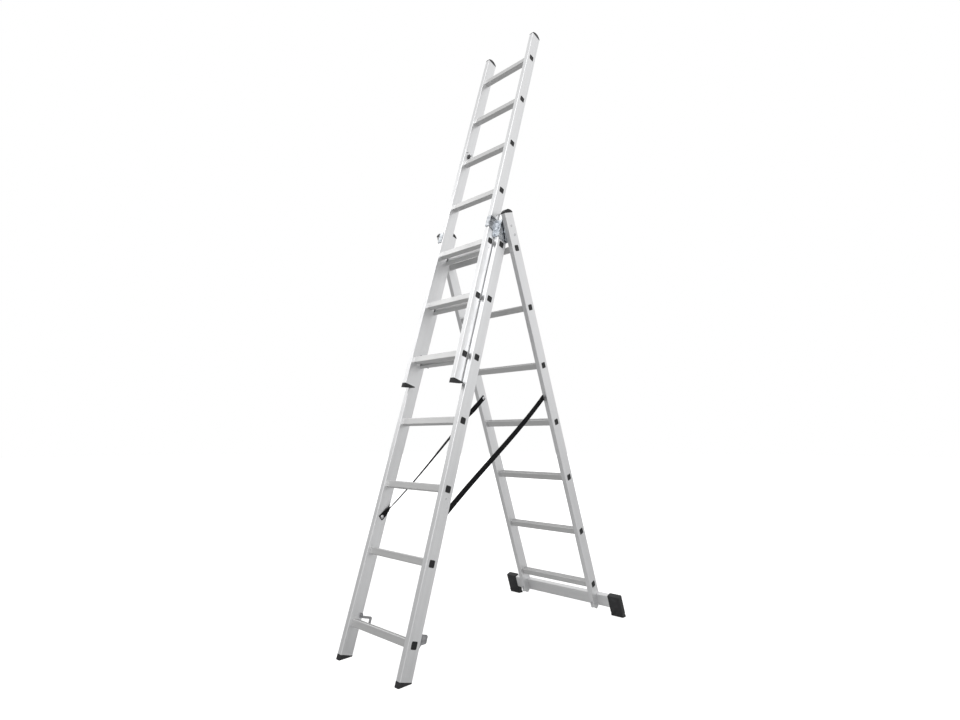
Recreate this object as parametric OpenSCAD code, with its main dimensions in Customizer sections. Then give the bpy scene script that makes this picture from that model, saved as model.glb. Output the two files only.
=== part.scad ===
// Three-section combination ladder, 3 x 7 rungs, standing as a step ladder with the top section run out.
// X is the width, -Y the climbing side, Z up.
// The origin lies on the floor under the middle of the footprint.
// "left" is -X and "right" is +X, as seen by someone about to climb.

/* [Sections] */
// Distance between rungs
rung_pitch = 280; // [240:1:320]
// Outer width of the front section
front_width = 393.4; // [340:0.2:480]
// Side play between two nested sections without hardware, on each side
top_gap = 3.6; // [3.2:0.1:8]
// Side room between the front and rear stiles, which holds the hinge plates
rear_gap = 9.7; // [9:0.1:16]
// Clearance between the rungs of a section and the stiles that nest in front of them
nest_gap = 4; // [3:0.5:12]
// Lean of the front section from upright
front_lean = 16.65; // [10:0.05:20]
// Lean of the rear section from upright
rear_lean = 19.65; // [12:0.05:24]
// Rung of the front section that the lowest rung of the top section is level with
top_level_rung = 5; // [4:1:5]

/* [Stiles] */
// Depth of a stile, front to back
stile_depth = 58; // [50:0.5:70]
// Width of a stile
stile_width = 24; // [20:0.5:30]
// Wall of the stile tube
stile_wall = 1.5; // [1.2:0.1:2.5]
// Corner radius of the stile tube
stile_round = 3; // [2:0.5:5]
// Stile left below the lowest rung, front section
front_tail = 119; // [90:1:160]
// Stile left below the lowest rung, top section
top_tail = 118; // [90:1:160]
// Stile left below the lowest rung, rear section
rear_tail = 122; // [100:1:150]
// Stile above the highest rung, front section
front_head = 153; // [130:1:200]
// Stile above the highest rung, top section
top_head = 153; // [60:1:220]
// Stile above the highest rung, rear section
rear_head = 165; // [130:1:200]

/* [Rungs] */
// Outer size of the square rung tube
rung_size = 28; // [24:0.5:30]
// Wall of the rung tube
rung_wall = 1.4; // [1:0.1:2]
// Ribs on the tread of a rung
tread_ribs = 6; // [3:1:7]
// Height of a tread rib
rib_height = 0.8; // [0.4:0.1:1.2]
// How far a rung plug stands out of the stile
plug_proud = 0.4; // [0.1:0.1:0.6]
// Depth of a rung plug inside the rung
plug_depth = 12; // [6:1:20]

/* [Feet and caps] */
// Thickness of a front foot under the middle of the stile
foot_sole = 12; // [10:0.5:20]
// Height of the dome on an end cap
cap_dome = 14; // [6:0.5:20]
// Height of the straight rim of an end cap
cap_rim = 3; // [2:0.5:6]
// Length of the plug of a foot or cap inside the stile
cap_plug = 22; // [10:1:40]

/* [Stabiliser] */
// Length of the stabiliser bar
bar_length = 702; // [600:1:900]
// Height of the stabiliser bar
bar_height = 60; // [40:1:70]
// Depth of the stabiliser bar
bar_depth = 25; // [18:0.5:30]
// Wall of the stabiliser bar
bar_wall = 2; // [1.5:0.1:3]
// Length of a stabiliser foot
shoe_length = 66; // [50:1:110]
// Wall of a stabiliser foot
shoe_wall = 3; // [2:0.5:6]
// Distance of the bar's top below the lowest rear rung's middle
bar_drop = 57; // [45:1:62]

/* [Hinge and guides] */
// Height of the hinge axis above the front section's highest rung
axis_above_front = 35; // [30:1:60]
// Height of the hinge axis above the rear section's highest rung
axis_above_rear = 44; // [36:1:70]
// Diameter of a hinge pin
pin_dia = 10; // [8:0.5:12]
// Radial running clearance of a hinge pin
pin_play = 0.05; // [0.02:0.01:0.1]
// Sheet of the guide brackets
guide_sheet = 2.4; // [2:0.1:3]
// Height of the part of a guide that wraps the top section
guide_wrap = 55; // [40:1:80]
// Height of the wrap's lower edge above the hinge axis
guide_rise = 29; // [20:1:60]
// Clearance between a guide and the top section's stile
guide_play = 0.6; // [0.3:0.1:1.2]
// Sheet of the rear hinge plates
plate_sheet = 3.3; // [2.5:0.1:4]

/* [Rung hooks] */
// Sheet of a rung hook
hook_sheet = 4.6; // [3:0.1:6]
// Height of a hook's bar and width of its lip
hook_bar = 9.5; // [6:0.5:14]
// Room between a stile and the lip of its hook
hook_throat = 37; // [33:0.5:45]
// Underside of the front section's hooks above its lowest rung's middle
front_hook_rise = 20; // [17:0.5:40]
// Lower end of those hooks' lips above that rung's middle
front_lip_end = 3; // [-5:0.5:12]
// Thickness of the swinging latch on the right-hand front hook
latch_sheet = 2.5; // [1.5:0.1:4]

/* [Straps] */
// Width of a spreader strap
strap_width = 25; // [15:1:30]
// Thickness of a spreader strap
strap_thick = 1.6; // [1:0.1:2.5]
// How far a strap sags from a straight line
strap_sag = 16; // [5:1:40]
// Front anchor of a strap, in rung pitches above the lowest front rung
strap_front = 1.5; // [1.2:0.1:2.8]
// Rear anchor of a strap, in rung pitches above the lowest rear rung
strap_rear = 3.5; // [3.2:0.1:4.8]

/* [Hidden] */
rung_count = 7;
// Gap between fixed pieces that face each other, and round a shank
fit = 0.1;
// Gap under the head of a fastener
near = 0.05;
// Slack round a plug or a seat
seat = 0.2;
// How far a cut runs past a face it opens
past = 1;
round_fn = 32;
bore_fn = 48;
// Corner radii of a rung, outside and inside
rung_round = 2.5;
rung_bore_round = 1.5;
rib_width = 1.6;
rib_margin = 2.5;
// Corner radius of the plugs inside the stiles
plug_round = 2.5;
// How far a foot or cap stands out round its stile
foot_grow = 0.5;
// Radii of shanks and heads
rivet_r = 3;
bolt_r = 4;
bolt_head_r = 7;
bolt_head = 5;
pin_head_r = 7;
pin_head = 1.1;
latch_pin = 2.5;
// Front face of the stabiliser bar, behind the middle of the rear stiles
bar_front = 6;
// How far a stabiliser foot reaches past the end of its bar
shoe_over = 6;
// Radius of the hinge ends of brackets and plates
lobe_r = 12;
// Lower end of a guide bracket below the hinge axis
guide_foot = -15;
// How far a guide wraps in front of the top section's stile
wrap_in = 22;
// Bolts of a guide bracket and rivets of a hinge plate, as depth and height from the hinge axis
bracket_points = [[-8, 61], [12, 30]];
plate_points = [[-2, 62], [8, 18]];
// Height of the small rivets below the third rung of the front and top sections
mark_drop = 37;
mark_r = 4;
mark_head = 0.9;
// Height of the riveted leg of a rung hook
hook_leg = 19;
// How far a top hook's lip reaches down past its bar
top_hook_lip = 24;
hook_foot = 15;
// Play of the latch beside the front hook
latch_gap = 0.2;
// Lower end of the latch below the middle of the lowest rung
latch_drop = 16;
// Stop buffer, above the fifth rung of the top section, and its screws above it
buffer_rise = 48;
buffer_thick = 9;
screw_rise = 60;
// Straps: steps along the length, and webbing past the middle of each anchor
strap_steps = 14;
strap_tail = 9;
washer_r = 8;
washer = 1.6;

// Half widths of the stiles' outer faces
front_out = front_width / 2;
front_in = front_out - stile_width;
top_out = front_in - top_gap;
top_in = top_out - stile_width;
rear_in = front_out + rear_gap;
rear_out = rear_in + stile_width;

// Heights in a section's own frame: zero is the hinge axis, and the top section's is its lowest rung
section_run = (rung_count - 1) * rung_pitch;
front_low = -axis_above_front - section_run;
rear_low = -axis_above_rear - section_run;
top_base = front_low + (top_level_rung - 1) * rung_pitch;
nest_depth = stile_depth / 2 + rung_size / 2 + nest_gap;
half_nest = nest_depth / 2;
front_end = front_low - front_tail;
rear_end = rear_low - rear_tail;
front_top = front_low + section_run + front_head;
rear_top = rear_low + section_run + rear_head;
top_top = section_run + top_head;
bar_top = rear_low - bar_drop;
bar_bottom = bar_top - bar_height;

// The front feet set the height of the hinge axis, and the rear feet reach down to the same floor
function front_floor(y) = (-axis_z + y * sin(front_lean)) / cos(front_lean);
function rear_floor(y) = (-axis_z - y * sin(rear_lean)) / cos(rear_lean);
axis_z = -(half_nest * sin(front_lean) + (front_end - foot_sole) * cos(front_lean));
foremost = -half_nest - stile_depth / 2 - foot_grow;
bar_back = bar_front + bar_depth;
bar_mid = bar_front + bar_depth / 2;
tail_r = (stile_depth / 2 + bar_front) / 2;
rearmost = half_nest + bar_back + shoe_wall;
front_reach = foremost * cos(front_lean) + front_floor(foremost) * sin(front_lean);
rear_reach = rearmost * cos(rear_lean) - rear_floor(rearmost) * sin(rear_lean);
axis_y = -(front_reach + rear_reach) / 2;

// Frames of the three sections, each with its stiles' middle at y = 0
module in_front() {
    translate([0, axis_y, axis_z]) rotate([-front_lean, 0, 0]) translate([0, -half_nest, 0]) children();
}
module in_top() {
    in_front() translate([0, -nest_depth, top_base]) children();
}
module in_rear() {
    translate([0, axis_y, axis_z]) rotate([rear_lean, 0, 0]) translate([0, half_nest, 0]) children();
}
module on_side(side) {
    if (side > 0) children();
    else mirror([1, 0, 0]) children();
}
module on_both() {
    on_side(1) children();
    on_side(-1) children();
}

module rounded(w, d, r) {
    square([w - 2 * r, d], center = true);
    square([w, d - 2 * r], center = true);
    for (x = [-1, 1], y = [-1, 1])
        translate([x * (w / 2 - r), y * (d / 2 - r)]) circle(r, $fn = round_fn);
}

// Extrudes a (y, z) outline along X from x0 to x1
module side_sheet(x0, x1) {
    translate([x0, 0, 0]) rotate([90, 0, 90]) linear_extrude(x1 - x0) children();
}

// A round bar along X from x0 to x1
module cross_bar(x0, x1, r, y, z) {
    translate([x0, y, z]) rotate([0, 90, 0]) cylinder(h = x1 - x0, r = r, $fn = bore_fn);
}

// A pan-head fastener on a face at x = face, its shank running inwards, away from the head
module pan_head(face, way, r, h, shank_r, shank, y, z) {
    translate([face, y, z]) rotate([0, 90 * way, 0]) {
        cylinder(h = h * 0.55, r = r, $fn = bore_fn);
        translate([0, 0, h * 0.55]) cylinder(h = h * 0.45, r1 = r, r2 = r * 0.7, $fn = bore_fn);
        if (shank > 0) translate([0, 0, -shank]) cylinder(h = shank + 0.01, r = shank_r, $fn = bore_fn);
    }
}

// ---- Stiles: hollow box extrusions, with a square hole in both walls for each rung ----
module stile(outer, z0, z1, rungs_from) {
    difference() {
        translate([outer - stile_width / 2, 0, z0]) linear_extrude(z1 - z0)
            rounded(stile_width, stile_depth, stile_round);
        translate([outer - stile_width / 2, 0, z0 - past]) linear_extrude(z1 - z0 + 2 * past)
            rounded(stile_width - 2 * stile_wall, stile_depth - 2 * stile_wall,
                stile_round - stile_wall / 2);
        for (i = [0 : rung_count - 1])
            translate([outer - stile_width / 2, 0, rungs_from + i * rung_pitch])
                cube([stile_width + 2 * past, rung_size + 2 * fit, rung_size + 2 * fit], center = true);
    }
}
module front_stile(side) {
    color("gainsboro") in_front() on_side(side) difference() {
        stile(front_out, front_end, front_top, front_low);
        wall = front_out - stile_wall - past;
        cross_bar(wall, front_out + past, pin_head_r + seat, half_nest, 0);
        for (p = bracket_points) cross_bar(wall, front_out + past, rivet_r + fit, p[0], p[1]);
    }
}
module top_stile(side) {
    color("gainsboro") in_top() on_side(side) stile(top_out, -top_tail, top_top, 0);
}
// The stabiliser bar sits in a notch in the rear half of these, behind a tail with a round end
module rear_stile(side) {
    color("gainsboro") in_rear() on_side(side) difference() {
        stile(rear_out, rear_end, rear_top, rear_low);
        translate([rear_in - past, bar_front - seat, rear_end - past])
            cube([stile_width + 2 * past, stile_depth, bar_top - rear_end + seat + past]);
        difference() {
            translate([rear_in - past, -stile_depth / 2 - past, rear_end - past])
                cube([stile_width + 2 * past, 2 * (tail_r + past), tail_r + past]);
            cross_bar(rear_in - 2 * past, rear_out + 2 * past, tail_r,
                bar_front - tail_r, rear_end + tail_r);
        }
        for (p = plate_points) cross_bar(rear_in - past, rear_out + past, rivet_r + fit, p[0], p[1]);
        translate([rear_out - stile_width / 2, 0, bar_top - bar_height / 2])
            rotate([90, 0, 0]) cylinder(h = stile_depth, r = bolt_r + fit, $fn = bore_fn);
    }
}

// ---- Rungs: square tubes through both stiles, with ribs on the tread between them ----
module rung(half, inner) {
    translate([-half, 0, 0]) rotate([90, 0, 90]) linear_extrude(2 * half) difference() {
        rounded(rung_size, rung_size, rung_round);
        rounded(rung_size - 2 * rung_wall, rung_size - 2 * rung_wall, rung_bore_round);
    }
    first = -rung_size / 2 + rib_margin;
    rib_step = -2 * first / (tread_ribs - 1);
    for (i = [0 : tread_ribs - 1])
        translate([-inner + 1, first + i * rib_step - rib_width / 2, rung_size / 2 - seat])
            cube([2 * inner - 2, rib_width, rib_height + seat]);
}
module front_rung(i) {
    color("whitesmoke") in_front() translate([0, 0, front_low + (i - 1) * rung_pitch])
        rung(front_out, front_in);
}
module top_rung(i) {
    color("whitesmoke") in_top() translate([0, 0, (i - 1) * rung_pitch]) rung(top_out, top_in);
}
module rear_rung(i) {
    color("whitesmoke") in_rear() translate([0, 0, rear_low + (i - 1) * rung_pitch]) rung(rear_out, rear_in);
}

// ---- Rung plugs: black plastic, pressed into the open rung ends ----
module plugs(outer, from) {
    size = rung_size - 2 * rung_wall - 2 * fit;
    color("black") on_both() for (i = [0 : rung_count - 1])
        translate([outer - plug_depth, 0, from + i * rung_pitch]) rotate([90, 0, 90]) {
            linear_extrude(plug_depth) rounded(size, size, rung_bore_round);
            translate([0, 0, plug_depth]) linear_extrude(plug_proud)
                rounded(rung_size - 2 * fit, rung_size - 2 * fit, rung_round);
        }
}
module front_rung_plugs() { in_front() plugs(front_out, front_low); }
module top_rung_plugs() { in_top() plugs(top_out, 0); }
module rear_rung_plugs() { in_rear() plugs(rear_out, rear_low); }

// ---- Feet of the front and top sections: rubber wedges that lie flat when the section leans ----
module wedge_foot(outer, z0) {
    mid = outer - stile_width / 2;
    inside_w = stile_width - 2 * stile_wall - 2 * seat;
    inside_d = stile_depth - 2 * stile_wall - 2 * seat;
    translate([mid, 0, z0]) difference() {
        union() {
            translate([0, 0, -stile_depth]) linear_extrude(stile_depth)
                rounded(stile_width + 2 * foot_grow, stile_depth + 2 * foot_grow, stile_round);
            translate([0, 0, -past]) linear_extrude(cap_plug + past) rounded(inside_w, inside_d, plug_round);
        }
        translate([0, 0, -foot_sole]) rotate([front_lean, 0, 0])
            translate([-stile_width, -2 * stile_depth, -3 * stile_depth])
                cube([2 * stile_width, 4 * stile_depth, 3 * stile_depth]);
    }
}
module front_foot(side) { color("black") in_front() on_side(side) wedge_foot(front_out, front_end); }
module top_foot(side) { color("black") in_top() on_side(side) wedge_foot(top_out, -top_tail); }

// ---- End caps: domed plastic, plugged into the stiles' upper ends ----
module end_cap(outer, z0) {
    mid = outer - stile_width / 2;
    half = stile_depth / 2 + foot_grow;
    dome_r = (half * half + cap_dome * cap_dome) / (2 * cap_dome);
    inside_w = stile_width - 2 * stile_wall - 2 * seat;
    inside_d = stile_depth - 2 * stile_wall - 2 * seat;
    translate([mid, 0, z0]) {
        intersection() {
            linear_extrude(cap_rim + cap_dome + past)
                rounded(stile_width + 2 * foot_grow, stile_depth + 2 * foot_grow, stile_round);
            translate([-stile_width, 0, cap_rim + cap_dome - dome_r]) rotate([0, 90, 0])
                cylinder(h = 2 * stile_width, r = dome_r, $fn = 96);
        }
        translate([0, 0, -cap_plug]) linear_extrude(cap_plug + past) rounded(inside_w, inside_d, plug_round);
    }
}
module front_end_caps() { color("black") in_front() on_both() end_cap(front_out, front_top); }
module top_end_caps() { color("black") in_top() on_both() end_cap(top_out, top_top); }
module rear_end_cap(side) { color("black") in_rear() on_side(side) end_cap(rear_out, rear_top); }

// ---- Stabiliser: a rectangular tube across the rear section's foot, with a rubber foot on each end ----
module stabiliser_bar() {
    color("gainsboro") in_rear() difference() {
        translate([-bar_length / 2, bar_mid, bar_top - bar_height / 2]) rotate([90, 0, 90])
            linear_extrude(bar_length) difference() {
                rounded(bar_depth, bar_height, rung_round);
                rounded(bar_depth - 2 * bar_wall, bar_height - 2 * bar_wall, rung_bore_round);
            }
        on_both() translate([rear_out - stile_width / 2, bar_back + past, bar_top - bar_height / 2])
            rotate([90, 0, 0]) cylinder(h = bar_depth + 2 * past, r = bolt_r + fit, $fn = bore_fn);
    }
}
module stabiliser_foot(side) {
    x0 = bar_length / 2 + shoe_over - shoe_length;
    depth = bar_depth + 2 * shoe_wall;
    color("black") in_rear() on_side(side) difference() {
        translate([x0 + shoe_length / 2, bar_mid, rear_low - 4 * bar_height])
            linear_extrude(4 * bar_height - bar_drop + shoe_wall) rounded(shoe_length, depth, 5);
        translate([x0 - past, bar_front - seat, bar_bottom - seat])
            cube([bar_length / 2 + seat - x0 + past, bar_depth + 2 * seat, bar_height + 2 * seat]);
        translate([0, 0, rear_floor(half_nest)]) rotate([-rear_lean, 0, 0])
            translate([0, -8 * bar_depth, -6 * bar_height])
                cube([bar_length, 16 * bar_depth, 6 * bar_height]);
    }
}
module stabiliser_bolts() {
    face = stile_depth / 2 + fit;
    back = bar_back + fit + bolt_head;
    color("silver") in_rear() on_both()
        translate([rear_out - stile_width / 2, 0, bar_top - bar_height / 2]) rotate([90, 0, 0]) {
            translate([0, 0, -back - 2]) cylinder(h = back + 2 + face + past, r = bolt_r, $fn = bore_fn);
            translate([0, 0, face]) cylinder(h = bolt_head, r = bolt_head_r, $fn = 6);
            translate([0, 0, -back]) cylinder(h = bolt_head, r = bolt_head_r, $fn = 6);
        }
}

// ---- Guide brackets: pressed steel on the front section's heads, round the top section's front edge ----
guide_out = front_out + fit + guide_sheet;
guide_in = front_in - guide_sheet;
front_face = -stile_depth / 2 - fit;
wrap_face = -nest_depth - stile_depth / 2 - guide_play;
guide_top = guide_rise + guide_wrap;
module guide_bracket(side) {
    color("lightsteelblue") in_front() on_side(side) difference() {
        union() {
            side_sheet(front_out + fit, guide_out) polygon([
                [front_face - guide_sheet, guide_foot + 9], [front_face + 8, guide_foot],
                [half_nest, -lobe_r], [half_nest + lobe_r, 0],
                [half_nest + 4, guide_rise + 31], [12, guide_top], [front_face - guide_sheet, guide_top]
            ]);
            cross_bar(front_out + fit, guide_out, lobe_r, half_nest, 0);
            translate([guide_in, front_face - guide_sheet, guide_foot + 9])
                cube([guide_out - guide_in, guide_sheet, guide_top - guide_foot - 9]);
            side_sheet(guide_in, front_in) polygon([
                [front_face, guide_foot + 9], [front_face, guide_top],
                [wrap_face - guide_sheet, guide_top], [wrap_face - guide_sheet, guide_rise],
                [front_face - 18, guide_rise - 8], [front_face - 16, guide_foot + 9]
            ]);
            translate([front_in - wrap_in - guide_sheet, wrap_face - guide_sheet, guide_rise])
                cube([wrap_in + guide_sheet, guide_sheet, guide_wrap]);
        }
        cross_bar(front_out - past, guide_out + past, pin_dia / 2 + pin_play, half_nest, 0);
        for (p = bracket_points) cross_bar(front_out - past, guide_out + past, rivet_r + fit, p[0], p[1]);
    }
}
module bracket_bolts() {
    color("silver") in_front() on_both() {
        for (p = bracket_points) pan_head(guide_out + near, 1, 6.5, 2.6, rivet_r, 8, p[0], p[1]);
        pan_head(front_out + near, 1, mark_r, mark_head, 0, 0, 0, front_low + 2 * rung_pitch - mark_drop);
    }
}
module top_rivets() {
    color("silver") in_top() on_both()
        pan_head(top_out + near, 1, mark_r, mark_head, 0, 0, 0, 2 * rung_pitch - mark_drop);
}

// ---- Rear hinge plates and pins: the plates are riveted inside the rear stiles' heads ----
plate_in = rear_in - fit - plate_sheet;
module hinge_plate(side) {
    color("lightsteelblue") in_rear() on_side(side) difference() {
        union() {
            side_sheet(plate_in, rear_in - fit) polygon([
                [-half_nest - lobe_r, 0], [-half_nest, -lobe_r], [18, 2], [18, 50],
                [6, 76], [-14, 76], [-30, 36]
            ]);
            cross_bar(plate_in, rear_in - fit, lobe_r, -half_nest, 0);
        }
        for (p = plate_points) cross_bar(plate_in - past, rear_in + past, rivet_r + fit, p[0], p[1]);
        cross_bar(plate_in - past, rear_in + past, pin_dia / 2, -half_nest, 0);
    }
}
// Each pin's inner head lies in a round hole in the front stile, and its collar fills the gap to the plate
module hinge_pins() {
    color("silver") translate([0, axis_y, axis_z]) on_both() {
        cross_bar(front_out - fit - pin_head, rear_in - fit, pin_dia / 2, 0, 0);
        cross_bar(front_out - fit - pin_head, front_out - fit, pin_head_r, 0, 0);
        cross_bar(guide_out + 2 * seat, plate_in, pin_head_r, 0, 0);
    }
}
module plate_rivets() {
    through = stile_width + plate_sheet + fit;
    color("silver") in_rear() on_both() for (p = plate_points)
        pan_head(rear_out + near, 1, 6, 2, rivet_r, through, p[0], p[1]);
}

// ---- Rung hooks: bars that reach back from a stile's inner face and turn down behind a rung ----
module rung_hook(face, under, lip_end) {
    back = stile_depth / 2;
    rest = under + hook_leg;
    lip = back + hook_throat;
    x1 = face - fit;
    x0 = x1 - hook_sheet;
    side_sheet(x0, x1) polygon([
        [back - hook_foot, under], [lip, under], [lip, lip_end + 3], [lip + 3, lip_end],
        [lip + hook_bar, lip_end], [lip + hook_bar, under + hook_bar - 5],
        [lip + hook_bar - 5, under + hook_bar], [back - 2, under + hook_bar],
        [back - 2, rest - 4], [back - 6, rest], [back - hook_foot, rest]
    ]);
    pan_head(x0 + 0.01, -1, 4.5, 2, 0, 0, back - (hook_foot + 2) / 2, under + hook_leg / 2);
}
module front_hook(side) {
    color("silver") in_front() {
        on_side(side) translate([0, 0, front_low])
            rung_hook(front_in, front_hook_rise, front_lip_end);
        if (side > 0) {
            head = front_in + 2 * latch_gap + latch_sheet;
            cross_bar(front_in - fit - 0.01, head, latch_pin, latch_y, latch_z);
            cross_bar(head, head + 2, 2 * latch_pin, latch_y, latch_z);
        }
    }
}
rung_top = rung_size / 2 + rib_height;
module top_hook(side) {
    under = rung_top + seat;
    color("silver") in_top() on_side(side)
        rung_hook(top_in, under, under - top_hook_lip);
}

// ---- Latch: a plate that hangs beside the right-hand front hook and closes its throat ----
latch_y = stile_depth / 2 + 12;
latch_z = front_low + front_hook_rise + hook_bar / 2;
module hook_latch() {
    y0 = stile_depth / 2 + 4;
    y1 = stile_depth / 2 + hook_throat + hook_bar + 2;
    z0 = front_low - latch_drop;
    z1 = front_low + front_hook_rise + hook_bar + 6;
    color("silver") in_front() difference() {
        side_sheet(front_in + latch_gap, front_in + latch_gap + latch_sheet) polygon([
            [y0, z1 - 4], [y0, z0 + 4], [y0 + 4, z0], [y0 + 14, z0], [y0 + 20, z0 + 14],
            [y1 - 3, z0 + 20], [y1, z0 + 24], [y1, z1 - 5], [y1 - 5, z1], [y0 + 4, z1]
        ]);
        cross_bar(front_in - past, front_in + latch_sheet + past, latch_pin + pin_play, latch_y, latch_z);
    }
}

// ---- Stop buffer: a rubber button with its two screws on the top section's left stile ----
buffer_z = 4 * rung_pitch + buffer_rise;
module stop_buffer() {
    color("dimgray") in_top() on_side(-1) {
        translate([top_in - buffer_thick, 0, buffer_z]) rotate([90, 0, 90])
            linear_extrude(buffer_thick - fit) rounded(15, 26, 6);
        for (y = [-15, 14]) pan_head(top_in - fit, -1, 7, 3, 0, 0, y, buffer_z + screw_rise);
    }
}

// ---- Spreader straps: webbing between the front and rear stiles' inner faces ----
strap_x_front = front_in - fit - strap_thick / 2;
strap_x_rear = rear_in - fit - strap_thick / 2;
strap_front_z = front_low + strap_front * rung_pitch;
strap_rear_z = rear_low + strap_rear * rung_pitch;
strap_a = [-half_nest, strap_front_z];
strap_b = [half_nest, strap_rear_z];
anchor_front = [strap_a[0] * cos(front_lean) + strap_a[1] * sin(front_lean),
                -strap_a[0] * sin(front_lean) + strap_a[1] * cos(front_lean)];
anchor_rear = [strap_b[0] * cos(rear_lean) - strap_b[1] * sin(rear_lean),
               strap_b[0] * sin(rear_lean) + strap_b[1] * cos(rear_lean)];
function ease(t) = t < 0.12 ? 0 : t > 0.88 ? 1 : (1 - cos(180 * (t - 0.12) / 0.76)) / 2;
function strap_point(t) = [
    strap_x_front + (strap_x_rear - strap_x_front) * ease(t),
    anchor_front[0] + (anchor_rear[0] - anchor_front[0]) * t,
    anchor_front[1] + (anchor_rear[1] - anchor_front[1]) * t - strap_sag * 4 * t * (1 - t)
];
strap_run = anchor_rear - anchor_front;
strap_across = [0, -strap_run[1], strap_run[0]] / norm(strap_run);
module strap(side) {
    reach = strap_tail / norm(strap_run);
    ts = [for (i = [0 : strap_steps]) -reach + (1 + 2 * reach) * i / strap_steps];
    ring = [for (t = ts, c = [[1, 1], [-1, 1], [-1, -1], [1, -1]])
        strap_point(t) + [c[0] * strap_thick / 2, 0, 0] + strap_across * c[1] * strap_width / 2];
    sides = [for (i = [0 : strap_steps - 1], j = [0 : 3])
        [4 * i + j, 4 * i + (j + 1) % 4, 4 * i + 4 + (j + 1) % 4, 4 * i + 4 + j]];
    ends = [[3, 2, 1, 0], [for (j = [0 : 3]) 4 * strap_steps + j]];
    color("black") translate([0, axis_y, axis_z]) on_side(side) polyhedron(ring, concat(sides, ends));
}
module strap_bolt(inner, z) {
    face = inner - strap_thick - 2 * fit;
    cross_bar(face - washer, face, washer_r, 0, z);
    pan_head(face - washer + 0.01, -1, 5.5, 3.2, 0, 0, 0, z);
}
module strap_bolts_front() { color("silver") in_front() on_both() strap_bolt(front_in, strap_front_z); }
module strap_bolts_rear() { color("silver") in_rear() on_both() strap_bolt(rear_in, strap_rear_z); }

front_stile(-1);  // front_stile_left
front_stile(1);  // front_stile_right
top_stile(-1);  // top_stile_left
top_stile(1);  // top_stile_right
rear_stile(-1);  // rear_stile_left
rear_stile(1);  // rear_stile_right
for (i = [1 : rung_count]) {
    front_rung(i);
    top_rung(i);
    rear_rung(i);
}
front_rung_plugs();
top_rung_plugs();
rear_rung_plugs();
front_foot(-1);  // front_foot_left
front_foot(1);  // front_foot_right
top_foot(-1);  // top_foot_left
top_foot(1);  // top_foot_right
front_end_caps();
top_end_caps();
rear_end_cap(-1);  // rear_end_cap_left
rear_end_cap(1);  // rear_end_cap_right
stabiliser_bar();
stabiliser_foot(-1);  // stabiliser_foot_left
stabiliser_foot(1);  // stabiliser_foot_right
stabiliser_bolts();
guide_bracket(-1);  // guide_bracket_left
guide_bracket(1);  // guide_bracket_right
hinge_plate(-1);  // hinge_plate_left
hinge_plate(1);  // hinge_plate_right
hinge_pins();
front_hook(-1);  // front_hook_left
front_hook(1);  // front_hook_right
hook_latch();
top_hook(-1);  // top_hook_left
top_hook(1);  // top_hook_right
strap(-1);  // strap_left
strap(1);  // strap_right
strap_bolts_front();
strap_bolts_rear();
bracket_bolts();
plate_rivets();
top_rivets();
stop_buffer();
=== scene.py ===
import math

import bmesh
import bpy
from mathutils import Matrix, Vector


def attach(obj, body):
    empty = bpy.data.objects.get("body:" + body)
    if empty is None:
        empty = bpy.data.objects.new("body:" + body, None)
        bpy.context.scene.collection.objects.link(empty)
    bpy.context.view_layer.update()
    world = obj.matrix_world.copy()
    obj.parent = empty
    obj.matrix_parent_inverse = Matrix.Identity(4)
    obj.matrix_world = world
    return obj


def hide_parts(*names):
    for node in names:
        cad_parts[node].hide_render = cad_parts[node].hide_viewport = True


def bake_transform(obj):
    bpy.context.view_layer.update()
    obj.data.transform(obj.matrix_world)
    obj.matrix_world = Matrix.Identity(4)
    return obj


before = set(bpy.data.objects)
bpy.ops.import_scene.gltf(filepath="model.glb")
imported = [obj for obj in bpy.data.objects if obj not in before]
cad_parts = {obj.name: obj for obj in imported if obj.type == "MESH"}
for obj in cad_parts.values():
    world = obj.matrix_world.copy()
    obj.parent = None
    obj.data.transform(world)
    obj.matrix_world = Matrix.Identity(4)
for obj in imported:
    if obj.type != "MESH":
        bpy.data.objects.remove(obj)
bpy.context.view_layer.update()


# ---- The studio ------------------------------------------------------------------------------
# A pale floor and a white room, lit by two broad soft lamps. The camera stands at waist height off
# the ladder's front right corner, tilted up, with a wide lens.
scene = bpy.context.scene
scene.view_settings.view_transform = "Standard"


class Shade:
    """A socket in a node tree. Sums on it add Math nodes, and node() adds any other kind."""

    def __init__(self, tree, socket=None):
        self.tree, self.socket = tree, socket

    def node(self, kind, settings=None, output=0, **inputs):
        made = self.tree.nodes.new("ShaderNode" + kind)
        for name, value in (settings or {}).items():
            if name == "stops":
                stops = made.color_ramp.elements
                while len(stops) < len(value):
                    stops.new(1)
                for stop, (place, grey) in zip(stops, value):
                    stop.position, stop.color = place, (grey, grey, grey, 1)
            else:
                setattr(made, name, value)
        for name, value in inputs.items():
            place = int(name[1:]) if name[1:].isdigit() else name.replace("_", " ")
            if isinstance(value, Shade):
                self.tree.links.new(value.socket, made.inputs[place])
            else:
                made.inputs[place].default_value = value
        return Shade(self.tree, made.outputs[output])

    def sums(self, operation, *values):
        terms = {f"_{place}": value for place, value in enumerate(values)}
        return self.node("Math", {"operation": operation}, **terms)

    def __add__(self, other):
        return self.sums("ADD", self, other)

    def __sub__(self, other):
        return self.sums("SUBTRACT", self, other)

    def __rsub__(self, other):
        return self.sums("SUBTRACT", other, self)

    def __mul__(self, other):
        return self.sums("MULTIPLY", self, other)

    __radd__, __rmul__ = __add__, __mul__

    def between(self, low, high):
        """0 below low, 1 above high, and smooth between them."""
        return self.node("MapRange", {"interpolation_type": "SMOOTHSTEP"},
                         Value=self, From_Min=low, From_Max=high)

    def mix(self, first, second):
        """The first colour where this is 0, the second where it is 1."""
        return self.node("Mix", {"data_type": "RGBA"}, 2, _0=self, _6=first, _7=second)


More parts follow.
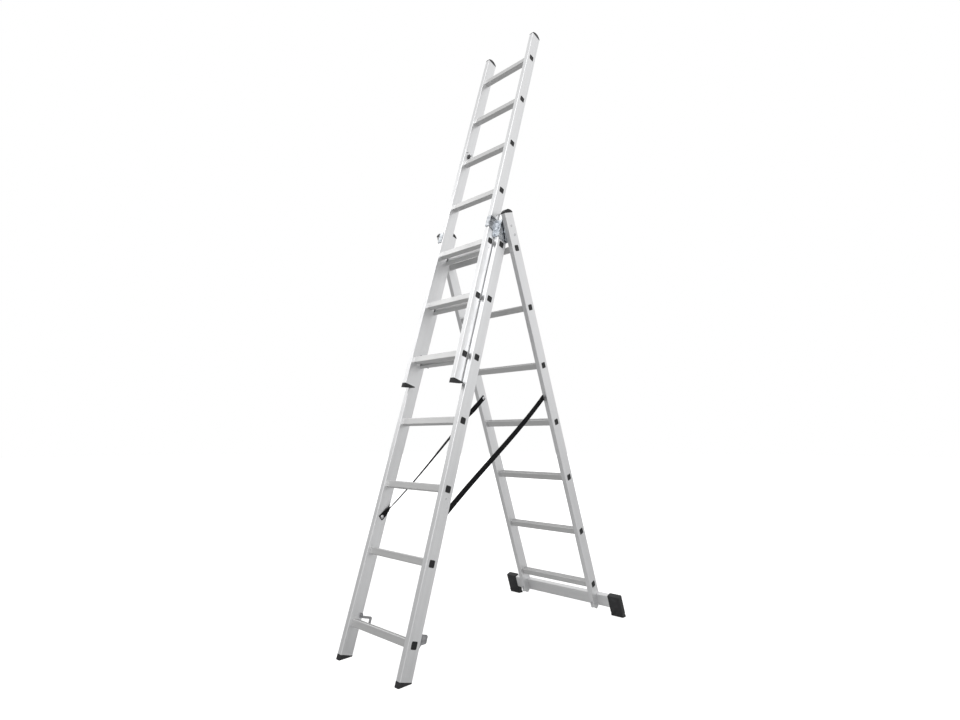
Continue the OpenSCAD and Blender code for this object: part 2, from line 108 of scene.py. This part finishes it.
def empty_tree(owner, output):
    """A cleared node tree, and the socket that its surface goes into."""
    owner.use_nodes = True
    owner.node_tree.nodes.clear()
    end = owner.node_tree.nodes.new(output)
    return Shade(owner.node_tree), end.inputs["Surface"]


# The room is white to the camera, and nearly white in gloss apart from a dimmer side at the left
# front, which gives the metal its grey faces. As light on the ladder it is a soft even fill.
left_front, full_gloss, dimmed_by, fill_level = (-0.72, -0.69, 0.0), 0.94, 0.38, 0.5
room = bpy.data.worlds.new("room")
scene.world = room
sky, surface = empty_tree(room, "ShaderNodeOutputWorld")
looking = sky.node("TexCoord", output=0)
rise = sky.node("SeparateXYZ", output=2, Vector=looking)
dim_side = sky.node("VectorMath", {"operation": "DOT_PRODUCT"}, 1, _0=looking, _1=left_front)
dimming = dim_side.between(-0.1, 0.75) * (1 - rise.between(0.12, 0.95))
gloss_level = full_gloss - dimmed_by * dimming
camera_ray = sky.node("LightPath", output=0)
glossy_ray = sky.node("LightPath", output=3)
clear_ray = sky.node("LightPath", output=6)
level = fill_level + camera_ray * (1 - fill_level) + clear_ray * (1 - fill_level)
level = level + glossy_ray * (gloss_level - fill_level)
shown = sky.node("Background", Color=(1, 1, 1, 1), Strength=level)
room.node_tree.links.new(shown.socket, surface)

# The floor is a little darker towards the left front, painted shade for the room's dim side that
# the metal reflects. Its glow is seen by the camera and through clear pieces, and lights nothing.
right_rear, near_glow, far_glow = (0.72, 0.69, 0.0), 0.74, 0.3
floor_mesh = bmesh.new()
bmesh.ops.create_circle(floor_mesh, cap_ends=True, segments=64, radius=30)
floor = bpy.data.objects.new("floor", bpy.data.meshes.new("floor"))
floor_mesh.to_mesh(floor.data)
floor_mesh.free()
scene.collection.objects.link(floor)
floor_finish = bpy.data.materials.new("pale_floor")
floor.data.materials.append(floor_finish)
ground, surface = empty_tree(floor_finish, "ShaderNodeOutputMaterial")
across = ground.node("VectorMath", {"operation": "DOT_PRODUCT"}, 1,
                     _0=ground.node("TexCoord", output=3), _1=right_rear)
# Painted shade: the floor colour darkens from the right rear to the left front, standing for the
# dimmer side of the room.
floor_with_painted_shade = across.between(-1.4, 2.2).mix((0.6, 0.6, 0.6, 1), (0.88, 0.88, 0.88, 1))
lit = ground.node("BsdfDiffuse", Color=floor_with_painted_shade)
seen = ground.node("LightPath", output=0) + ground.node("LightPath", output=6)
far = ground.node("VectorMath", {"operation": "LENGTH"}, 1, _0=ground.node("TexCoord", output=3))
glow = ground.node("Emission", Color=(1, 1, 1, 1),
                   Strength=seen * (near_glow + far.between(1.5, 4.0) * far_glow))
both = ground.node("AddShader", _0=lit, _1=glow)
floor_finish.node_tree.links.new(both.socket, surface)

for name, place, size, watts in (
        ("lamp_right", (3.2, -2.4, 4.6), 4.5, 120),
        ("lamp_left", (-3.6, -1.2, 3.6), 3.0, 30)):
    lamp = bpy.data.lights.new(name, "AREA")
    lamp.size, lamp.energy = size, watts
    held = bpy.data.objects.new(name, lamp)
    held.location = place
    held.rotation_euler = (Vector((0, 0, 1.4)) - held.location).to_track_quat("-Z", "Y").to_euler()
    scene.collection.objects.link(held)

focal_pixels, frame_pixels, film_width = 567.94, 960, 36
lens = bpy.data.cameras.new("camera")
camera = bpy.data.objects.new("camera", lens)
lens.sensor_width, lens.lens = film_width, film_width * focal_pixels / frame_pixels
camera.location = (1.8503, -1.9588, 0.8584)
camera.rotation_euler = (math.radians(90 + 7.867), 0, math.radians(43.69))
scene.collection.objects.link(camera)
scene.camera = camera


# ---- Stiles ----------------------------------------------------------------------------------
# Six hollow box extrusions of mill-finish aluminium, 58 by 24 mm. The die leaves fine lines along
# them, and handling leaves faint dull patches.
front_lean, rear_lean = math.radians(16.65), math.radians(19.65)


def aluminium(name, turn, stretch, colour, lines):
    """Drawn metal: turn brings the pattern in line with the piece, and stretch draws it out."""
    made = bpy.data.materials.new(name)
    metal, surface = empty_tree(made, "ShaderNodeOutputMaterial")
    spot = metal.node("TexCoord", output=3)
    drawn = metal.node("Mapping", Vector=spot, Rotation=(turn, 0, 0))
    fine = metal.node("Mapping", Vector=drawn, Scale=stretch)
    die_lines = metal.node("TexNoise", Vector=fine, Scale=1.0, Detail=3.0, Roughness=0.6)
    broad = metal.node("Mapping", Vector=drawn, Scale=[value * 0.08 for value in stretch])
    bands = metal.node("TexNoise", Vector=broad, Scale=1.0, Detail=2.0)
    patches = metal.node("TexNoise", Vector=spot, Scale=7.0, Detail=5.0, Roughness=0.62)
    scuffs = metal.node("TexNoise", Vector=drawn, Scale=55.0, Detail=6.0, Roughness=0.7)
    dull = patches.between(0.45, 0.7)
    worn = scuffs.between(0.6, 0.78) * dull
    tone = die_lines * 0.5 + bands * 0.5
    dark = [value * 0.93 for value in colour[:3]] + [1]
    base = tone.between(0.3, 0.7).mix(dark, colour)
    base = worn.mix(base, [value * 0.86 for value in colour[:3]] + [1])
    rough = 0.4 + dull * 0.08 + (die_lines - 0.5) * 0.16 + worn * 0.12
    height = die_lines + bands * 0.6
    relief = metal.node("Bump", Height=height, Strength=lines, Distance=0.0002)
    body = metal.node("BsdfPrincipled", Base_Color=base, Metallic=1.0, Roughness=rough,
                      Normal=relief)
    made.node_tree.links.new(body.socket, surface)
    return made


stile_colour = (0.80, 0.803, 0.81, 1)
along_stile = (420.0, 420.0, 2.5)
leaning_finish = aluminium("stile_front", front_lean, along_stile, stile_colour, 0.35)
rear_finish = aluminium("stile_rear", -rear_lean, along_stile, stile_colour, 0.35)


def finish_nodes(material, *names):
    """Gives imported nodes, which keep their own shape, this material."""
    for name in names:
        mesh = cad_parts[name].data
        mesh.materials.clear()
        mesh.materials.append(material)


finish_nodes(leaning_finish, "front_stile_left", "front_stile_right",
             "top_stile_left", "top_stile_right")
finish_nodes(rear_finish, "rear_stile_left", "rear_stile_right")


# ---- Rungs -----------------------------------------------------------------------------------
# Twenty-one square tubes of 28 mm, extruded with six ribs on the tread, and expanded in the
# square holes of the stiles. Their ribs and handling leave them duller than the stiles.
rung_finish = aluminium("rung_metal", 0.0, (2.5, 420.0, 420.0), (0.66, 0.66, 0.658, 1), 0.3)
finish_nodes(rung_finish, *[f"{part}_rung_{count}" for part in ("front", "top", "rear")
                            for count in range(1, 8)])


# ---- Rung plugs ------------------------------------------------------------------------------
# Black moulded plastic plugs in the open ends of every rung, a rounded square flange that is
# just proud of the stile, with a soft rim and a shallow dish.
hinge = Vector((0, -0.053966, 1.76187))
half_nest, top_base, rung_pitch, rungs = 0.0235, -0.595, 0.28, 7
half_stile, stile_middle = 0.012, {"front": 0.1847, "top": 0.1571, "rear": 0.2184}
front_place = (Matrix.Translation(hinge) @ Matrix.Rotation(-front_lean, 4, "X")
               @ Matrix.Translation((0, -half_nest, 0)))
top_place = front_place @ Matrix.Translation((0, -2 * half_nest, top_base))
rear_place = (Matrix.Translation(hinge) @ Matrix.Rotation(rear_lean, 4, "X")
              @ Matrix.Translation((0, half_nest, 0)))
section_place = {"front": front_place, "top": top_place, "rear": rear_place}


def moulded(name, colour, grain, rough):
    """A moulded plastic or rubber: fine grain, and a soft change of tone over a hand's width."""
    made = bpy.data.materials.new(name)
    skin, surface = empty_tree(made, "ShaderNodeOutputMaterial")
    spot = skin.node("TexCoord", output=3)
    texture = skin.node("TexNoise", Vector=spot, Scale=grain, Detail=3.0)
    cloud = skin.node("TexNoise", Vector=spot, Scale=24.0, Detail=4.0)
    dust = cloud.between(0.5, 0.75)
    paler = [min(1, value * 1.7 + 0.012) for value in colour[:3]] + [1]
    base = (dust * 0.6).mix(colour, paler)
    relief = skin.node("Bump", Height=texture, Strength=0.25, Distance=0.0004)
    body = skin.node("BsdfPrincipled", Base_Color=base, Normal=relief,
                     Specular_IOR_Level=0.3,
                     Roughness=rough + (texture - 0.5) * 0.07 + dust * 0.08)
    made.node_tree.links.new(body.socket, surface)
    return made


def cast(shape, places):
    """One mesh with a copy of a finished shape at each place."""
    mould = bpy.data.meshes.new("mould")
    shape.to_mesh(mould)
    shape.free()
    row = bmesh.new()
    for place in places:
        cast_before = len(row.verts)
        row.from_mesh(mould)
        row.verts.ensure_lookup_table()
        bmesh.ops.transform(row, matrix=place, verts=row.verts[cast_before:])
    bpy.data.meshes.remove(mould)
    return row


def as_object(shape, name, finish, sharp_degrees):
    """A finished shape as an object, smooth apart from its sharper edges."""
    bmesh.ops.recalc_face_normals(shape, faces=shape.faces)
    mesh = bpy.data.meshes.new(name)
    shape.to_mesh(mesh)
    shape.free()
    mesh.materials.append(finish)
    mesh.shade_smooth()
    mesh.set_sharp_from_angle(angle=math.radians(sharp_degrees))
    piece = bpy.data.objects.new(name, mesh)
    scene.collection.objects.link(piece)
    return piece


def settle(shape, name, finish, body, slot, *stands_for):
    """Makes a finished shape a rigid piece of the ladder."""
    bmesh.ops.remove_doubles(shape, verts=shape.verts, dist=1e-6)
    piece = as_object(shape, name, finish, 35)
    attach(piece, body)
    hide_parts(*stands_for)


def squared_button(half_length, half_width, corner, steps):
    """A face round at corner 2 and squarer above it, raised in steps of a rise and a shrink."""
    shape = bmesh.new()
    bmesh.ops.create_circle(shape, cap_ends=True, segments=32, radius=1)
    for vert in shape.verts:
        grown = abs(vert.co.x) ** corner + abs(vert.co.y) ** corner
        vert.co /= grown ** (1 / corner)
    bmesh.ops.scale(shape, verts=shape.verts, vec=(half_length, half_width, 1))
    bmesh.ops.recalc_face_normals(shape, faces=shape.faces)
    face = shape.faces[:][0]
    if face.normal.z < 0:
        face.normal_flip()
    for rise, shrink in steps:
        face = bmesh.ops.extrude_discrete_faces(shape, faces=[face])["faces"][0]
        middle = face.calc_center_median()
        bmesh.ops.scale(shape, verts=face.verts, vec=(shrink, shrink, 1),
                        space=Matrix.Translation(-middle))
        bmesh.ops.translate(shape, verts=face.verts, vec=(0, 0, rise))
    return shape


plug_plastic = moulded("black_plug", (0.014, 0.014, 0.015, 1), 900.0, 0.42)
plug_half, plug_corner = 0.0137, 6.0
plug_steps = ((0.00025, 1.0), (0.00015, 0.95), (0.0, 0.88), (-0.0009, 0.93))
for part, lowest in (("front", -1.715), ("top", 0.0), ("rear", -1.724)):
    face_x = stile_middle[part] + half_stile
    places = [section_place[part]
              @ Matrix.Translation((side * face_x, 0, lowest + count * rung_pitch))
              @ Matrix.Rotation(math.radians(side * 90), 4, "Y")
              for side in (-1, 1) for count in range(rungs)]
    plugs = cast(squared_button(plug_half, plug_half, plug_corner, plug_steps), places)
    settle(plugs, f"{part}_plugs", plug_plastic, f"{part}_section", "plug_plastic",
           f"{part}_rung_plugs")


# ---- End caps --------------------------------------------------------------------------------
# Black plastic caps on the upper ends of the stiles: a straight skirt round the extrusion, and a
# dome from front to back with a soft edge.
cap_plastic = moulded("black_cap", (0.016, 0.016, 0.017, 1), 700.0, 0.4)


def rounded_block(width, depth, low, high, corner):
    """A block from low to high, with its four upright edges rounded."""
    shape = bmesh.new()
    bmesh.ops.create_cube(shape, size=1)
    bmesh.ops.scale(shape, verts=shape.verts, vec=(width, depth, high - low))
    bmesh.ops.translate(shape, verts=shape.verts, vec=(0, 0, (high + low) / 2))
    upright = [edge for edge in shape.edges if edge.verts[0].co.z != edge.verts[1].co.z]
    bmesh.ops.bevel(shape, geom=upright, offset=corner, segments=4, affect="EDGES", profile=0.5,
                    material=-1)
    return shape


def slice_across(shape, way, spots):
    """Cuts every face at these distances along a way, and keeps both sides."""
    for spot in spots:
        whole = shape.verts[:] + shape.edges[:] + shape.faces[:]
        bmesh.ops.bisect_plane(shape, geom=whole, plane_co=Vector(way) * spot, plane_no=way)


def soften_rim(shape, up, size):
    """Rounds the edge round the top, or with up at -1 round the bottom."""
    shape.normal_update()
    rim = [edge for edge in shape.edges
           if sum(face.normal.z * up > 0.4 for face in edge.link_faces) == 1]
    bmesh.ops.bevel(shape, geom=rim, offset=size, segments=3, affect="EDGES", profile=0.5,
                    material=-1)


def end_cap():
    """One cap over the end of a stile at the origin, the stile running down from it."""
    width, depth, lap, skirt, dome = 0.025, 0.059, 0.001, 0.003, 0.0135
    corner, rim = 0.0035, 0.0011
    shape = rounded_block(width, depth, -lap, skirt, corner)
    slice_across(shape, (0, 1, 0), [depth / 2 * math.sin(math.radians(turn))
                                    for turn in range(-75, 90, 15)])
    for vert in shape.verts:
        if vert.co.z > 0:
            vert.co.z = skirt + dome * (1 - (2 * vert.co.y / depth) ** 2)
    soften_rim(shape, 1, rim)
    return shape


def stile_ends(part, height):
    """The places of both stiles' ends, at this height in their section."""
    return [section_place[part] @ Matrix.Translation((side * stile_middle[part], 0, height))
            for side in (-1, 1)]


for part, height, nodes in (("front", 0.118, ["front_end_caps"]),
                            ("top", 1.833, ["top_end_caps"]),
                            ("rear", 0.121, ["rear_end_cap_left", "rear_end_cap_right"])):
    settle(cast(end_cap(), stile_ends(part, height)), f"{part}_caps", cap_plastic,
           f"{part}_section", "cap_plastic", *nodes)


# ---- Wedge feet ------------------------------------------------------------------------------
# Black rubber feet plugged into the lower ends of the front and top stiles. Each is a wedge that
# stands flat when the section leans, with five grooves across its sole.
foot_rubber = moulded("foot_rubber", (0.03, 0.03, 0.031, 1), 520.0, 0.6)


def wedge_foot():
    """One foot under the lower end of a stile at the origin."""
    width, depth, corner, sole, slope = 0.025, 0.059, 0.003, -0.012, math.tan(front_lean)
    groove, groove_mouth, groove_floor = 0.0013, 0.0012, 0.0008
    grooves = [count * 0.0098 for count in range(-2, 3)]
    shape = rounded_block(width, depth, -1, 0, corner)
    slice_across(shape, (0, 1, 0), [middle + edge for middle in grooves for edge in
                                    (-groove_mouth, -groove_floor, groove_floor, groove_mouth)])
    for vert in shape.verts:
        if vert.co.z < -0.5:
            off_groove = min(abs(vert.co.y - middle) for middle in grooves)
            rise = groove if off_groove < (groove_mouth + groove_floor) / 2 else 0
            vert.co.z = sole + vert.co.y * slope + rise
    return shape


for part, height in (("front", -1.834), ("top", -0.118)):
    settle(cast(wedge_foot(), stile_ends(part, height)), f"{part}_feet", foot_rubber,
           f"{part}_section", "foot_rubber", f"{part}_foot_left", f"{part}_foot_right")


# ---- Stabiliser bar --------------------------------------------------------------------------
# A rectangular aluminium tube of 60 by 25 mm across the rear section's foot, in a notch of its
# stiles, drawn and left as it comes from the mill.
bar_finish = aluminium("bar_metal", -rear_lean, (2.5, 420.0, 420.0), (0.79, 0.792, 0.795, 1), 0.3)
finish_nodes(bar_finish, "stabiliser_bar")


# ---- Stabiliser feet -------------------------------------------------------------------------
# Black rubber shoes pushed over both ends of the bar. They reach down to the floor, and have
# round corners, soft rims and a groove above the sole.
shoe_rubber = moulded("shoe_rubber", (0.028, 0.028, 0.03, 1), 480.0, 0.55)


def bar_shoe():
    """The right-hand shoe on a bar along X, in the rear section's own place."""
    mouth, outer, front, back = 0.291, 0.357, 0.003, 0.034
    top, sole_middle, slope = -1.778, -1.8792, -math.tan(rear_lean)
    width, depth, corner, top_rim, sole_rim = outer - mouth, back - front, 0.0055, 0.0025, 0.0012
    groove, groove_mouth, groove_floor = 0.0014, (0.09, 0.18), (0.125, 0.145)
    shape = rounded_block(width, depth, 0, 1, corner)
    slice_across(shape, (0, 0, 1), groove_mouth + groove_floor)
    for vert in shape.verts:
        if min(abs(vert.co.z - share) for share in groove_floor) < 0.001:
            vert.co.x *= 1 - 2 * groove / width
            vert.co.y *= 1 - 2 * groove / depth
        vert.co.x += (mouth + outer) / 2
        vert.co.y += (front + back) / 2
        bottom = sole_middle + vert.co.y * slope
        vert.co.z = bottom + (top - bottom) * vert.co.z
    soften_rim(shape, 1, top_rim)
    soften_rim(shape, -1, sole_rim)
    return shape


for name, side in (("left", -1), ("right", 1)):
    shoe = cast(bar_shoe(), [rear_place @ Matrix.Diagonal((side, 1, 1, 1))])
    settle(shoe, f"stabiliser_shoe_{name}", shoe_rubber, "rear_section", "foot_rubber",
           f"stabiliser_foot_{name}")


# ---- Guide brackets and hinge plates ---------------------------------------------------------
# Pressed sheet steel with a bright bluish zinc plating. Brackets hold the hinge on the front
# stiles and guide the top section, and plates are riveted inside the rear stiles.
zinc = bpy.data.materials.new("bright_zinc")
plating, surface = empty_tree(zinc, "ShaderNodeOutputMaterial")
spot = plating.node("TexCoord", output=3)
grains = plating.node("TexVoronoi", Vector=spot, Scale=260.0)
smears = plating.node("TexNoise", Vector=spot, Scale=55.0, Detail=4.0)
tint = (grains * 0.3 + smears * 0.7).between(0.3, 0.62)
plated = tint.mix((0.17, 0.185, 0.205, 1), (0.63, 0.65, 0.675, 1))
ripples = plating.node("Bump", Height=smears + grains * 0.2, Strength=0.5, Distance=0.0012)
metal = plating.node("BsdfPrincipled", Base_Color=plated, Metallic=1.0, Normal=ripples,
                     Roughness=0.2 + smears * 0.16)
zinc.node_tree.links.new(metal.socket, surface)
finish_nodes(zinc, "guide_bracket_left", "guide_bracket_right",
             "hinge_plate_left", "hinge_plate_right")


# ---- Hooks and latch -------------------------------------------------------------------------
# Bars of dull zinc-plated steel riveted inside the stiles, each with a lip behind a rung. One
# hook carries a swinging plate that closes its throat.
dull_steel = bpy.data.materials.new("dull_steel")
plating, surface = empty_tree(dull_steel, "ShaderNodeOutputMaterial")
spot = plating.node("TexCoord", output=3)
smears = plating.node("TexNoise", Vector=spot, Scale=60.0, Detail=5.0)
tint = smears.between(0.35, 0.65)
plated = tint.mix((0.29, 0.29, 0.3, 1), (0.42, 0.42, 0.43, 1))
ripples = plating.node("Bump", Height=smears, Strength=0.25, Distance=0.0004)
metal = plating.node("BsdfPrincipled", Base_Color=plated, Metallic=1.0, Normal=ripples,
                     Roughness=0.38 + smears * 0.2)
dull_steel.node_tree.links.new(metal.socket, surface)
finish_nodes(dull_steel, "front_hook_left", "front_hook_right", "top_hook_left",
             "top_hook_right", "hook_latch")


# ---- Bolts, rivets and pins ------------------------------------------------------------------
# Bright plated steel: the domed heads on the brackets and stiles, the hinge pins, the hexagon
# bolts of the stabiliser, and the strap bolts with their washers.
steel = bpy.data.materials.new("bright_steel")
plating, surface = empty_tree(steel, "ShaderNodeOutputMaterial")
spot = plating.node("TexCoord", output=3)
smears = plating.node("TexNoise", Vector=spot, Scale=90.0, Detail=4.0)
plated = smears.between(0.35, 0.65).mix((0.50, 0.50, 0.51, 1), (0.66, 0.66, 0.67, 1))
metal = plating.node("BsdfPrincipled", Base_Color=plated, Metallic=1.0,
                     Roughness=0.24 + smears * 0.16)
steel.node_tree.links.new(metal.socket, surface)
finish_nodes(steel, "bracket_bolts", "plate_rivets", "top_rivets", "hinge_pins",
             "stabiliser_bolts", "strap_bolts_front", "strap_bolts_rear")


# ---- Stop buffer -----------------------------------------------------------------------------
# A dark grey rubber button inside the top section's left stile, with a soft edge and a dish in
# the middle. It is held by the two screws above it.
buffer_rubber = moulded("buffer_rubber", (0.07, 0.07, 0.072, 1), 600.0, 0.62)
inner_face, button_height, half_length, half_width = -0.1451, 1.168, 0.013, 0.0075
facing_in = Matrix.Rotation(math.radians(90), 4, "Y")
button_place = top_place @ Matrix.Translation((inner_face, 0, button_height)) @ facing_in
button_steps = ((0.006, 1.0), (0.0009, 0.95), (0.0004, 0.88), (0.0, 0.72), (-0.0008, 0.8))
button = squared_button(half_length, half_width, 3, button_steps)
settle(cast(button, [button_place]), "stop_button", buffer_rubber, "top_section",
       "buffer_rubber", "stop_buffer")


# ---- Stop buffer screws ----------------------------------------------------------------------
# Two domed steel screw heads above the button, driven into the same stile from inside. Each has a
# thin skirt and a low dome.
head_radius, screw_height = 0.007, 1.19
head_steps = ((0.0008, 1.0), (0.0011, 0.88), (0.0007, 0.78), (0.0003, 0.6))
places = [top_place @ Matrix.Translation((inner_face, across, screw_height)) @ facing_in
          for across in (-0.015, 0.014)]
screws = cast(squared_button(head_radius, head_radius, 2, head_steps), places)
settle(screws, "stop_screws", steel, "top_section", "fastener_steel", "stop_buffer")


# ---- Straps ----------------------------------------------------------------------------------
# Woven polyester webbing of 25 by 1.6 mm between the front and rear stiles, folded back and
# stitched at both ends, with a bolt through each. The left one has turned over once.
webbing = bpy.data.materials.new("strap_webbing")
cloth, surface = empty_tree(webbing, "ShaderNodeOutputMaterial")
flat = cloth.node("TexCoord", output=2)
along = cloth.node("SeparateXYZ", output=0, Vector=flat)
across = cloth.node("SeparateXYZ", output=1, Vector=flat)
picks = cloth.sums("SINE", along * 3900.0)
warps = cloth.sums("SINE", across * (math.tau * 450))
thread = picks * warps
fuzz = cloth.node("TexNoise", Vector=flat, Scale=900.0, Detail=3.0)
worn = cloth.node("TexNoise", Vector=flat, Scale=30.0, Detail=4.0).between(0.45, 0.7)
woven = (thread * 0.3 + fuzz * 0.7).between(0.1, 0.7)
strands = woven.mix((0.004, 0.004, 0.005, 1), (0.014, 0.014, 0.015, 1))
strands = (worn * 0.5).mix(strands, (0.022, 0.022, 0.023, 1))
weave = cloth.node("Bump", Height=thread + fuzz * 0.5, Strength=0.6, Distance=0.0004)
body = cloth.node("BsdfPrincipled", Base_Color=strands, Normal=weave, Specular_IOR_Level=0.12,
                  Roughness=0.72 + fuzz * 0.2)
webbing.node_tree.links.new(body.socket, surface)

strap_front, strap_rear = Vector((0.1718, -0.4475, 0.5279)), Vector((0.2055, 0.2184, 1.0691))


def strap_frame(part, side, turns):
    """Middle, width way and thickness way of a strap, part from 0 at the front to 1 at the rear."""
    sag, straight_end, first_turn, slow_turn, last_turn = 0.006, 0.12, 69, 16, 95
    swept = min(1, max(0, (part - straight_end) / (1 - 2 * straight_end)))
    ease = 0.5 - 0.5 * math.cos(math.pi * swept)
    run = strap_rear - strap_front
    middle = strap_front + run * part - Vector((0, 0, 4 * sag * part * (1 - part)))
    middle.x = side * (strap_front.x + run.x * ease)
    run.x = 0
    run.normalize()
    early, late = (max(0, min(1, (part - begin) / span))
                   for begin, span in ((0.0, 0.1), (0.78, 0.19)))
    degrees = (first_turn * early ** 2 * (3 - 2 * early) + slow_turn * ease
               + last_turn * late ** 2 * (3 - 2 * late))
    twist = Matrix.Rotation(math.radians(turns * degrees), 3, run)
    return middle, twist @ Vector((0, -run.z, run.y)), twist @ Vector((-side, 0, 0))


def strap(name, side, turns):
    """A band with round edges, doubled and bar-tacked at both ends, laid along its run."""
    width, thick, tail, fold, steps = 0.025, 0.0016, 0.009, 0.058, 96
    fold_rise, fold_slope = 0.0012, 0.004
    tacks, tack, tack_rise, tack_gap, tack_width = 5, 0.0008, 0.0003, 0.0016, 0.02
    span = (strap_rear - strap_front).length
    length = span + 2 * tail
    shape = bmesh.new()
    bmesh.ops.create_cube(shape, size=1)
    bmesh.ops.scale(shape, verts=shape.verts, vec=(length, width, thick))
    long_edges = [edge for edge in shape.edges if edge.verts[0].co.x != edge.verts[1].co.x]
    bmesh.ops.bevel(shape, geom=long_edges, offset=thick / 3, segments=2, affect="EDGES",
                    profile=0.5, material=-1)
    slice_across(shape, (1, 0, 0), [length * (step / steps - 0.5) for step in range(1, steps)])
    for end in (-1, 1):
        for count in range(tacks):
            spot = end * (length / 2 - fold + fold_slope + count * tack_gap)
            stitch = Matrix.Diagonal((tack, tack_width, thick + 2 * tack_rise, 1))
            bmesh.ops.create_cube(shape, size=1, matrix=Matrix.Translation((spot, 0, 0)) @ stitch)
    sheet = shape.loops.layers.uv.new("UVMap")
    for face in shape.faces:
        for loop in face.loops:
            loop[sheet].uv = loop.vert.co.xy
    for vert in shape.verts:
        reach, across, out = vert.co
        middle, wide, way_out = strap_frame(0.5 + reach / span, side, turns)
        inner = 1 if way_out.x * side < 0 else -1
        doubled = min(1, max(0, (fold - length / 2 + abs(reach)) / fold_slope))
        if out * inner > 0:
            out += inner * fold_rise * doubled
        vert.co = middle + wide * across + way_out * out
    piece = as_object(shape, name, webbing, 50)
    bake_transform(piece)
    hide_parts(name)


strap("strap_right", 1, 0)
strap("strap_left", -1, 1)
